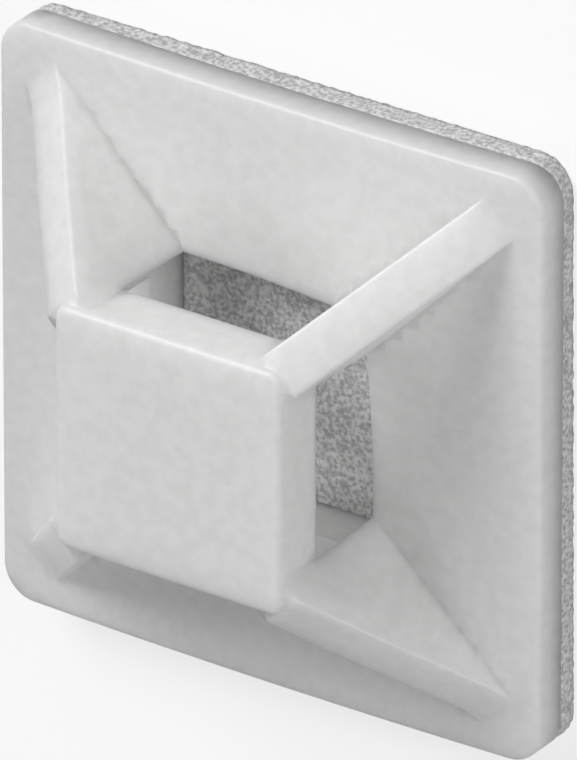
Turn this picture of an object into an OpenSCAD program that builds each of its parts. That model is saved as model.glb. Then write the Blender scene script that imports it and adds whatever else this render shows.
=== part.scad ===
// Four-way self-adhesive cable tie mount.
// A square nylon plate carries a raised bridge pad on four sloping legs, so that a tie can be
// threaded under the pad from any side. A sheet of adhesive foam covers the back of the plate.
// The origin is at the centre of the foam's back face, and +Z points away from the wall.

/* [Base plate] */
// Side of the square plate
plate_side = 28; // [26:0.5:40]
// Thickness of the plate
plate_t = 1.6; // [1.2:0.1:2.5]
// Radius of the plate's corners, seen from the front
plate_corner_r = 1.6; // [1:0.1:3]
// Radius of the plate's front edge
plate_edge_r = 0.2; // [0.1:0.05:0.4]

/* [Bridge pad] */
// Side of the square pad, and of the window under it
pad_side = 11.6; // [10:0.1:13]
// Height of the pad's front face above the plate
pad_h = 7.7; // [6.5:0.1:9]
// Thickness of the pad
pad_t = 2.8; // [2:0.1:3.5]
// Radius of the pad's corners, seen from the front
pad_corner_r = 0.6; // [0.5:0.1:1]
// Radius of the pad's front edge
pad_edge_r = 0.3; // [0.1:0.05:0.4]

/* [Legs] */
// Width of a leg's sloping top
leg_w = 2.2; // [1.6:0.1:2.8]
// Angle of a leg's top to the plate
leg_slope = 40; // [36:1:42]
// Draft of a leg's side walls
leg_draft = 1.5; // [0:0.5:2]
// Radius of the long edges of a leg's top
leg_edge_r = 0.15; // [0.05:0.05:0.3]
// Distance from the pad's rounded front edge down to the level top of a leg's root
leg_drop = 0.1; // [0.05:0.05:0.3]

/* [Guide ramps] */
// Height of the ramps at the window's sides
ramp_rise = 0.75; // [0.3:0.05:1.2]
// Distance from the window's side to where a ramp runs out on the plate
ramp_run = 6; // [4:0.1:6.4]

/* [Adhesive foam] */
// Thickness of the foam
foam_t = 0.9; // [0.5:0.1:1.6]
// Radius of the foam's corners
foam_corner_r = 1.6; // [0.5:0.1:3]

/* [Hidden] */
$fn = 96;
nylon = [0.90, 0.91, 0.90];
foam_grey = [0.80, 0.80, 0.79];

plate_back = foam_t;
plate_front = plate_back + plate_t;
pad_front = plate_front + pad_h;
pad_under = pad_front - pad_t;

// A leg's top is level at its root, starts to slope just outside the pad's round corner, and
// runs out where it meets the plate
leg_top = pad_front - pad_edge_r - leg_drop;
leg_start = (pad_side / 2 - pad_corner_r) * sqrt(2) + pad_corner_r + leg_drop;
leg_rise = leg_top - plate_front;
leg_run = leg_rise / tan(leg_slope);

// Each ramp is hollowed by an arc that meets the plate at a small angle
ramp_inner = pad_side / 2;
ramp_outer = ramp_inner + ramp_run;
ramp_arc_r = (ramp_run * ramp_run + ramp_rise * ramp_rise) / (2 * ramp_rise);
ramp_sink = 0.01;

// Small overlap that joins solids
bite = 0.05;

// A square with round corners, centred
module rounded_square(side, r) {
    straight = side - 2 * r;
    square([side, straight], center = true);
    square([straight, side], center = true);
    for (x = [-1, 1], y = [-1, 1])
        translate([x * straight / 2, y * straight / 2]) circle(r);
}

// A square slab on z = 0 with round corners and a rounded top edge
module soft_slab(side, height, corner_r, edge_r) {
    straight = side - 2 * corner_r;
    shoulder = height - edge_r;
    linear_extrude(shoulder) rounded_square(side, corner_r);
    linear_extrude(height) rounded_square(side - 2 * edge_r, corner_r - edge_r);
    for (turn = [0 : 90 : 270])
        rotate(turn)
            translate([0, side / 2 - edge_r, shoulder])
                rotate([0, 90, 0])
                    cylinder(r = edge_r, h = straight, center = true);
    for (x = [-1, 1], y = [-1, 1])
        translate([x * straight / 2, y * straight / 2, shoulder])
            rotate_extrude()
                translate([corner_r - edge_r, 0]) circle(edge_r);
}

// The base plate, with its round corners and rounded front edge
module base_plate() {
    translate([0, 0, plate_back]) soft_slab(plate_side, plate_t, plate_corner_r, plate_edge_r);
}

// The pad that bridges the window
module bridge_pad() {
    translate([0, 0, pad_under]) soft_slab(pad_side, pad_t, pad_corner_r, pad_edge_r);
}

// A ridge along Y whose two flanks are hollow arcs that run out on the plate
module ridge() {
    rotate([90, 0, 0])
        linear_extrude(2 * ramp_outer, center = true)
            difference() {
                translate([-ramp_outer, -bite]) square([2 * ramp_outer, ramp_rise + bite]);
                for (side = [-1, 1])
                    translate([side * ramp_outer, ramp_arc_r - ramp_sink]) circle(ramp_arc_r, $fn = 360);
            }
}

// Two crossed ridges, whose common part rises evenly towards all four sides of the window
module guide_ramps() {
    translate([0, 0, plate_front])
        intersection() {
            ridge();
            rotate(90) ridge();
        }
}

// The section across a leg, with the middle of its top on the origin
module leg_section() {
    depth = leg_rise + leg_w;
    foot = leg_w / 2 + depth * tan(leg_draft);
    shoulder = leg_w / 2 - leg_edge_r;
    polygon([
        [-foot, -depth],
        [foot, -depth],
        [leg_w / 2, -leg_edge_r],
        [shoulder, 0],
        [-shoulder, 0],
        [-leg_w / 2, -leg_edge_r]
    ]);
    for (side = [-1, 1])
        translate([side * shoulder, -leg_edge_r]) circle(leg_edge_r);
}

// One leg along +X: a drafted rib that slopes from the pad's corner down to the plate
module leg() {
    intersection() {
        translate([leg_start, 0, leg_top])
            rotate([0, leg_slope, 0])
                translate([-leg_w, 0, 0])
                    rotate([90, 0, 90])
                        linear_extrude(leg_w + 2 * leg_run) leg_section();
        translate([leg_start - leg_w, -leg_w, plate_front - bite])
            cube([leg_w + 2 * leg_run, 2 * leg_w, leg_rise + bite]);
    }
}

// The square window through the plate, which runs up to the underside of the pad
module window() {
    translate([-pad_side / 2, -pad_side / 2, plate_back - 1])
        cube([pad_side, pad_side, pad_under - plate_back + 1]);
}

// The nylon moulding
module mount() {
    color(nylon)
        difference() {
            union() {
                base_plate();
                guide_ramps();
                for (turn = [45 : 90 : 315]) rotate(turn) leg();
                bridge_pad();
            }
            window();
        }
}

// The sheet of double-sided foam tape on the back of the plate
module foam_pad() {
    color(foam_grey)
        linear_extrude(foam_t) rounded_square(plate_side, foam_corner_r);
}

mount();
foam_pad();
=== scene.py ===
import math

import bmesh
import bpy
from mathutils import Matrix, Vector, noise


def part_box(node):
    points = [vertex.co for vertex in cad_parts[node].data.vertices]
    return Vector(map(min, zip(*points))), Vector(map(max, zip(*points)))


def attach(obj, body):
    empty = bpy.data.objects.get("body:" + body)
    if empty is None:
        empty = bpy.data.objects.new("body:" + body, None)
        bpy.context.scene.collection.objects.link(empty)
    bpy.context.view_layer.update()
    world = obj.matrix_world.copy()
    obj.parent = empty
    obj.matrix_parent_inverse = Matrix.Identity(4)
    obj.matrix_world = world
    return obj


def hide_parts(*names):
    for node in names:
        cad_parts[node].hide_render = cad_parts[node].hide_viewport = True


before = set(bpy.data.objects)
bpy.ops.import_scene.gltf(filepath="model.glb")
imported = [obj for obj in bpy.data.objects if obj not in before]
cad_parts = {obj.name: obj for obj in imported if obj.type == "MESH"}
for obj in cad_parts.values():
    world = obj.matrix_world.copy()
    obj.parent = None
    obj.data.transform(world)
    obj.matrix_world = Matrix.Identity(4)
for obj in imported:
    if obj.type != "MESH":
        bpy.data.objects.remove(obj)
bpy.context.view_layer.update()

MM = 0.001

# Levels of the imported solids, and half the side of the plate
MOUNT_LOW, MOUNT_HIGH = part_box("mount")
FOAM_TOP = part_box("foam_pad")[1].z
HALF = MOUNT_HIGH.x
PLATE_THICKNESS = 1.6 * MM
PAD_THICKNESS = 2.8 * MM
RAMP_RISE = 0.74 * MM
PLATE_BACK = MOUNT_LOW.z
PLATE_FRONT = PLATE_BACK + PLATE_THICKNESS
RAMP_TOP = PLATE_FRONT + RAMP_RISE
PAD_UNDER = MOUNT_HIGH.z - PAD_THICKNESS

# The window: half its side, its soft front edge, and how far the plate is pressed into the foam
# beside it, in full up to one distance from the middle and not at all from the other
WINDOW = 5.8 * MM
WINDOW_EDGE = 0.1 * MM
WINDOW_SINK = 0.35 * MM
SINK_FULL = WINDOW + 0.7 * MM
SINK_END = WINDOW + 3.5 * MM

# The moulding's slight warp: the bow of its plate, and one high corner on lower ramps
BOW = 0.3 * MM
RAMP_DROP = 0.15 * MM
HIGH_CORNER = 0.6 * MM
HIGH_REACH = 3.2 * MM

# How the moulding's mesh is cut and shaded
SLICES = 40
SAME_POINT = 0.001 * MM
SAME_PLACE = 0.02 * MM
FLAT_ANGLE = math.radians(0.5)
SHARP_ANGLE = math.radians(32)

# The foam tape: its outline, its turn on the plate, its mesh, and its uneven surface
FOAM_CORNER = 1.6 * MM
FOAM_TURN = math.radians(0.45)
FOAM_STEPS = 150
FOAM_LAYERS = 6
FOAM_GAP = 0.03 * MM
FOAM_GRAIN = 0.3 * MM
FOAM_UNEVEN = 0.08 * MM
FOAM_PITTING = 0.03 * MM

# The camera looks at the target from this direction, with the part's +Y upright in the picture
VIEW_TARGET = Vector((0.546, 0.449, 1.836)) * MM
VIEW_DIRECTION = Vector((0.5026, 0.4662, 0.7281)).normalized()
VIEW_UPRIGHT = Vector((0, 1, 0))
VIEW_DISTANCE = 938.4 * MM
VIEW_LENS = 1372.6

# Soft lamps: a direction from the part, and the light that each gives on a face turned to it
LAMP_DISTANCE = 0.5
LAMP_SIZE = 0.27
LAMP_UPRIGHT = Vector((0.1, 0, 1)).normalized()
LAMPS = [
    ("key", (-0.46, 0.66, 0.59), 1.85),
    ("top", (-0.25, 0.92, 0.31), 0.45),
    ("right", (0.87, 0.32, 0.38), 0.6),
    ("side", (1.0, 0.0, 0.1), 0.5),
    ("low_side", (0.81, -0.52, 0.27), 0.2),
    ("front", (0.05, -0.4, 0.9), 0.45),
]

# The floor, and the even light from all round
FLOOR_HALF = 2.0
FLOOR_GREY = (0.35, 0.35, 0.35, 1)
FLOOR_GLOW = 0.7
WORLD_LIGHT = 0.1


def aim(target, direction, distance, upright):
    """The place and turn of something at a distance from target, looking back at it."""
    right = upright.cross(direction).normalized()
    up = direction.cross(right)
    turn = Matrix((right, up, direction)).transposed().to_4x4()
    return Matrix.Translation(target + direction * distance) @ turn


def make_camera():
    """The scene's camera."""
    camera = bpy.data.objects.new("camera", bpy.data.cameras.new("camera"))
    camera.data.sensor_fit = "HORIZONTAL"
    camera.data.lens = VIEW_LENS
    camera.data.clip_start = 0.01
    camera.data.clip_end = 10.0
    camera.matrix_world = aim(VIEW_TARGET, VIEW_DIRECTION, VIEW_DISTANCE, VIEW_UPRIGHT)
    bpy.context.collection.objects.link(camera)
    bpy.context.scene.camera = camera


def make_lights():
    """Soft round lamps at one distance, each seen from the part under the same angle."""
    target = Vector((0, 0, PLATE_FRONT))
    for name, direction, strength in LAMPS:
        light = bpy.data.lights.new(name, "AREA")
        light.shape = "DISK"
        light.size = LAMP_SIZE
        light.energy = strength * math.pi * LAMP_DISTANCE ** 2
        lamp = bpy.data.objects.new(name, light)
        towards = Vector(direction).normalized()
        lamp.matrix_world = aim(target, towards, LAMP_DISTANCE, LAMP_UPRIGHT)
        bpy.context.collection.objects.link(lamp)


def new_material(name):
    """A material, with its nodes and its links."""
    material = bpy.data.materials.new(name)
    material.use_nodes = True
    return material, material.node_tree.nodes, material.node_tree.links


def add_bump(nodes, links, shader, scale, strength, depth):
    """Fine unevenness from noise of a given number of waves to the metre."""
    place = nodes.new("ShaderNodeTexCoord")
    texture = nodes.new("ShaderNodeTexNoise")
    texture.inputs["Scale"].default_value = scale
    texture.inputs["Detail"].default_value = 3.0
    bump = nodes.new("ShaderNodeBump")
    bump.inputs["Strength"].default_value = strength
    bump.inputs["Distance"].default_value = depth
    links.new(place.outputs["Object"], texture.inputs["Vector"])
    links.new(texture.outputs["Fac"], bump.inputs["Height"])
    links.new(bump.outputs["Normal"], shader.inputs["Normal"])
    return texture


def add_tones(nodes, links, shader, texture, dark, light, start, end):
    """A grey that runs from dark to light between two levels of the noise."""
    ramp = nodes.new("ShaderNodeValToRGB")
    low, high = ramp.color_ramp.elements
    low.position, low.color = start, dark
    high.position, high.color = end, light
    links.new(texture.outputs["Fac"], ramp.inputs["Fac"])
    links.new(ramp.outputs["Color"], shader.inputs["Base Color"])


def nylon_material():
    """Natural nylon: milky, with a satin mould finish."""
    material, nodes, links = new_material("nylon")
    shader = nodes["Principled BSDF"]
    shader.inputs["Roughness"].default_value = 0.42
    shader.inputs["IOR"].default_value = 1.53
    shader.inputs["Subsurface Weight"].default_value = 1.0
    shader.inputs["Subsurface Radius"].default_value = (1.0, 1.0, 1.0)
    shader.inputs["Subsurface Scale"].default_value = 2.0 * MM
    texture = add_bump(nodes, links, shader, scale=1500.0, strength=0.15, depth=0.02 * MM)
    add_tones(nodes, links, shader, texture, dark=(0.83, 0.83, 0.825, 1),
              light=(0.88, 0.88, 0.875, 1), start=0.35, end=0.65)
    return material


def foam_material():
    """Closed-cell foam: matte, with fine light and dark cells."""
    material, nodes, links = new_material("foam")
    shader = nodes["Principled BSDF"]
    shader.inputs["Roughness"].default_value = 0.85
    texture = add_bump(nodes, links, shader, scale=5000.0, strength=0.7, depth=0.08 * MM)
    add_tones(nodes, links, shader, texture, dark=(0.5, 0.5, 0.5, 1),
              light=(0.93, 0.93, 0.925, 1), start=0.36, end=0.62)
    return material


def paint(piece, material):
    """Give a piece one material."""
    piece.data.materials.clear()
    piece.data.materials.append(material)


def new_object(name, mesh):
    """An object in the scene from a bmesh, which is freed."""
    data = bpy.data.meshes.new(name)
    mesh.to_mesh(data)
    mesh.free()
    made = bpy.data.objects.new(name, data)
    bpy.context.collection.objects.link(made)
    return made


def falling(value, start, end):
    """1 up to start, 0 from end on, and a smooth fall between them."""
    share = min(max((value - start) / (end - start), 0.0), 1.0)
    return 1 - share * share * (3 - 2 * share)


def plate_bow(x):
    """How far the bowed plate stands forward at a distance from its upright middle line."""
    return BOW * (1 - (x / HALF) ** 2)


def back_lift(x, y):
    """How far the plate's back is moved forward: by the bow, but pressed in by the window."""
    pressed = falling(max(abs(x), abs(y)), SINK_FULL, SINK_END)
    return plate_bow(x) * (1 - pressed) - WINDOW_SINK * pressed


def moulding_lift(place):
    """How far a point of the moulding is moved forward by its warp."""
    x, y, z = place
    if z <= PLATE_FRONT:
        depth = (PLATE_FRONT - z) / (PLATE_FRONT - PLATE_BACK)
        base = plate_bow(x) * (1 - depth) + back_lift(x, y) * depth
    else:
        base = plate_bow(x) * falling(z, PLATE_FRONT, RAMP_TOP)
    if z <= PLATE_BACK:
        return base
    from_corner = (Vector((x, y)) - Vector((WINDOW, WINDOW))).length
    high = HIGH_CORNER * math.exp(-0.5 * (from_corner / HIGH_REACH) ** 2)
    on_ramp = 1 - falling(z, PLATE_FRONT, RAMP_TOP)
    return base + (high - RAMP_DROP * on_ramp) * falling(z, RAMP_TOP, PAD_UNDER)


def at(value, target):
    """Whether two measures are the same, within a small tolerance."""
    return abs(value - target) < SAME_PLACE


def ramp_edges(mesh):
    """The four straight edges where the ramps end at the window."""
    found = []
    for edge in mesh.edges:
        a, b = (vert.co for vert in edge.verts)
        high = at(a.z, RAMP_TOP) and at(b.z, RAMP_TOP)
        if high and any(at(abs(a[k]), WINDOW) and at(abs(b[k]), WINDOW) for k in (0, 1)):
            found.append(edge)
    return found


def slice_along(mesh, axis):
    """Cut all faces at even steps along an axis."""
    for k in range(1, SLICES):
        bmesh.ops.bisect_plane(mesh, geom=mesh.verts[:] + mesh.edges[:] + mesh.faces[:],
                               plane_co=axis * HALF * (2 * k / SLICES - 1), plane_no=axis)


def make_mount():
    """The moulding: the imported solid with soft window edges, cut fine and slightly warped."""
    mesh = bmesh.new()
    mesh.from_mesh(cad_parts["mount"].data)
    bmesh.ops.remove_doubles(mesh, verts=mesh.verts, dist=SAME_POINT)
    bmesh.ops.dissolve_limit(mesh, angle_limit=FLAT_ANGLE, verts=mesh.verts, edges=mesh.edges)
    bmesh.ops.bevel(mesh, geom=ramp_edges(mesh), offset=WINDOW_EDGE, segments=2, profile=0.5,
                    affect="EDGES")
    slice_along(mesh, Vector((1, 0, 0)))
    slice_along(mesh, Vector((0, 1, 0)))
    bmesh.ops.triangulate(mesh, faces=mesh.faces)
    for vert in mesh.verts:
        vert.co.z += moulding_lift(vert.co)
    mount = new_object("moulding", mesh)
    mount.data.shade_smooth()
    mount.data.set_sharp_from_angle(angle=SHARP_ANGLE)
    normals = mount.modifiers.new("normals", "WEIGHTED_NORMAL")
    normals.keep_sharp = True
    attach(mount, "root")
    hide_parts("mount")
    return mount


def round_outline(u, v, half, corner):
    """The point of a round-cornered square that the unit square's edge point (u, v) maps to."""
    x, y = u * half, v * half
    inner = half - corner
    if abs(x) <= inner or abs(y) <= inner:
        return Vector((x, y))
    centre = Vector((math.copysign(inner, x), math.copysign(inner, y)))
    return centre + (Vector((x, y)) - centre).normalized() * corner


def foam_point(i, j, share):
    """One point of the foam: i and j count across the sheet, and share is its height, 0 to 1."""
    u, v = 2 * i / FOAM_STEPS - 1, 2 * j / FOAM_STEPS - 1
    level = max(abs(u), abs(v))
    flat = Vector((0, 0))
    if level:
        flat = round_outline(u / level, v / level, HALF, FOAM_CORNER) * level
    flat = Matrix.Rotation(FOAM_TURN, 2) @ flat
    height = (FOAM_TOP + back_lift(*flat) - FOAM_GAP) * share
    grain = noise.noise(Vector((flat.x, flat.y, height)) / FOAM_GRAIN)
    if level == 1:
        flat -= flat.normalized() * FOAM_UNEVEN * (0.5 - grain)
    if share == 1 and level < 1:
        height += grain * FOAM_PITTING
    return Vector((flat.x, flat.y, height))


def make_foam():
    """The foam tape: a front and a back grid and the cut wall between them, slightly uneven."""
    mesh = bmesh.new()
    last = FOAM_STEPS
    ring = ([(i, 0) for i in range(last)] + [(last, j) for j in range(last)]
            + [(last - i, last) for i in range(last)] + [(0, last - j) for j in range(last)])
    everywhere = [(i, j) for i in range(last + 1) for j in range(last + 1)]
    layers = []
    for level in range(FOAM_LAYERS + 1):
        places = everywhere if level in (0, FOAM_LAYERS) else ring
        share = level / FOAM_LAYERS
        layers.append({key: mesh.verts.new(foam_point(*key, share)) for key in places})
    for grid, order in ((layers[0], -1), (layers[-1], 1)):
        for i in range(last):
            for j in range(last):
                corners = [grid[i, j], grid[i + 1, j], grid[i + 1, j + 1], grid[i, j + 1]]
                mesh.faces.new(corners[::order])
    for low, high in zip(layers, layers[1:]):
        for a, b in zip(ring, ring[1:] + ring[:1]):
            mesh.faces.new([low[a], low[b], high[b], high[a]])
    foam = new_object("foam_tape", mesh)
    foam.data.shade_smooth()
    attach(foam, "root")
    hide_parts("foam_pad")
    return foam


def seen_directly(nodes, links):
    """1 for rays from the camera, off a gloss or through a clear material, else 0."""
    path = nodes.new("ShaderNodeLightPath")
    total = path.outputs["Is Camera Ray"]
    for ray in ("Is Glossy Ray", "Is Transmission Ray"):
        either = nodes.new("ShaderNodeMath")
        either.operation = "MAXIMUM"
        links.new(total, either.inputs[0])
        links.new(path.outputs[ray], either.inputs[1])
        total = either.outputs[0]
    return total


def choose_by_ray(nodes, links, otherwise, directly, surface):
    """Show one shader to rays that see directly, and the other to all other rays."""
    choice = nodes.new("ShaderNodeMixShader")
    links.new(seen_directly(nodes, links), choice.inputs["Fac"])
    links.new(otherwise, choice.inputs[1])
    links.new(directly, choice.inputs[2])
    links.new(choice.outputs["Shader"], surface)


def floor_material():
    """A matte grey that glows for direct rays, so that it looks near white and keeps a shadow."""
    material, nodes, links = new_material("floor")
    matte = nodes["Principled BSDF"]
    matte.inputs["Base Color"].default_value = FLOOR_GREY
    matte.inputs["Roughness"].default_value = 1.0
    matte.inputs["Specular IOR Level"].default_value = 0.0
    glow = nodes.new("ShaderNodeEmission")
    glow.inputs["Strength"].default_value = FLOOR_GLOW
    both = nodes.new("ShaderNodeAddShader")
    links.new(matte.outputs["BSDF"], both.inputs[0])
    links.new(glow.outputs["Emission"], both.inputs[1])
    choose_by_ray(nodes, links, matte.outputs["BSDF"], both.outputs["Shader"],
                  nodes["Material Output"].inputs["Surface"])
    return material


def make_floor():
    """The plain floor that the part lies on."""
    mesh = bmesh.new()
    bmesh.ops.create_grid(mesh, x_segments=2, y_segments=2, size=FLOOR_HALF)
    floor = new_object("floor", mesh)
    paint(floor, floor_material())


def make_world():
    """Pale grey where it is seen directly, and a weak even light on the part."""
    world = bpy.data.worlds.new("world")
    world.use_nodes = True
    nodes, links = world.node_tree.nodes, world.node_tree.links
    dim = nodes["Background"]
    dim.inputs["Color"].default_value = (1, 1, 1, 1)
    dim.inputs["Strength"].default_value = WORLD_LIGHT
    pale = nodes.new("ShaderNodeBackground")
    pale.inputs["Strength"].default_value = 1.0
    choose_by_ray(nodes, links, dim.outputs["Background"], pale.outputs["Background"],
                  nodes["World Output"].inputs["Surface"])
    bpy.context.scene.world = world


bpy.context.scene.view_settings.view_transform = "Standard"
make_camera()
make_world()
make_lights()
make_floor()
paint(make_mount(), nylon_material())
paint(make_foam(), foam_material())
